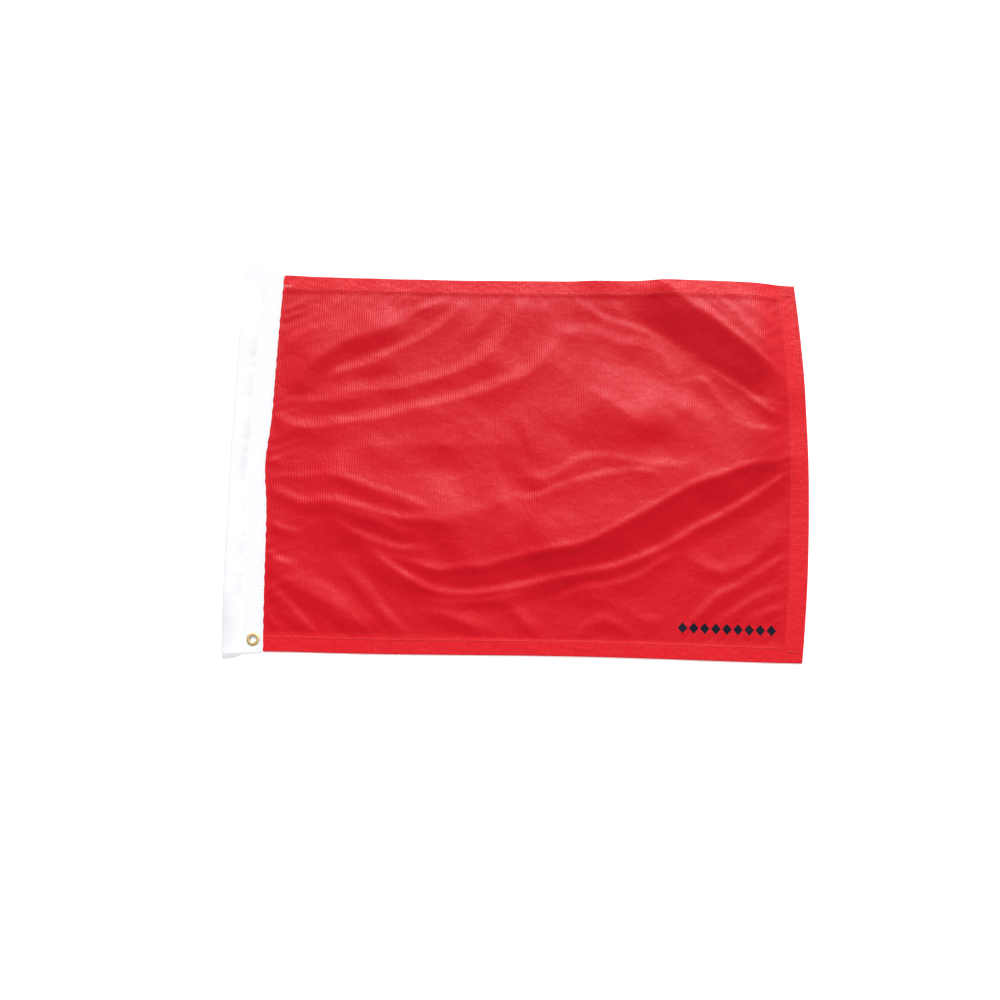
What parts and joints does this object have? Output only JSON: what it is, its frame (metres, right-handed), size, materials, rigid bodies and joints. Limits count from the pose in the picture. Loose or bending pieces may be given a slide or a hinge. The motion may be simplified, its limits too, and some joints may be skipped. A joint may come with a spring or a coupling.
{
  "type": "signal flag",
  "caption": "Plain red signal flag with hemmed edges, a white sewn pole sleeve along the hoist and a small brass grommet at the sleeve's lower end.",
  "frame": {"origin": "centre of the outline, on the surface that the flag lies on", "axes": "+X from the sleeve's fold towards the fly, +Y up the hoist towards the sleeve's sewn-shut top, +Z out of the printed face"},
  "size_m": [0.457, 0.3134, 0.0094],
  "materials": {
    "red_nylon": "fine ribbed weave, satin",
    "red_nylon_hem": "folded three plies thick, satin",
    "red_thread": "twisted polyester sewing thread",
    "white_canvas": "plain woven canvas, matt",
    "white_thread": "twisted polyester sewing thread",
    "brass": "bright stamped brass"
  },
  "bodies": {
    "sleeve": {"sleeve": "white_canvas", "sleeve_mouth_hem": "white_canvas", "field_seam_allowance": "red_nylon", "seam_thread_outer": "white_thread", "seam_thread_inner": "white_thread", "sleeve_top_thread": "white_thread", "sleeve_mouth_thread": "white_thread", "grommet": "brass", "grommet_washer": "brass"},
    "field": {"field_panel": "red_nylon", "top_hem": "red_nylon_hem", "bottom_hem": "red_nylon_hem", "fly_hem": "red_nylon_hem", "top_hem_thread": "red_thread", "bottom_hem_thread": "red_thread", "fly_hem_thread_inner": "red_thread", "fly_hem_thread_outer": "red_thread", "top_bar_tack": "red_thread", "bottom_bar_tack": "red_thread"}
  },
  "joints": [
    {"name": "hoist_fold", "type": "hinge", "parent": "sleeve", "child": "field", "pos_m": [-0.1965, 0, 0.0019], "axis": [0, -1, 0], "range_deg": [0, 150]}
  ]
}
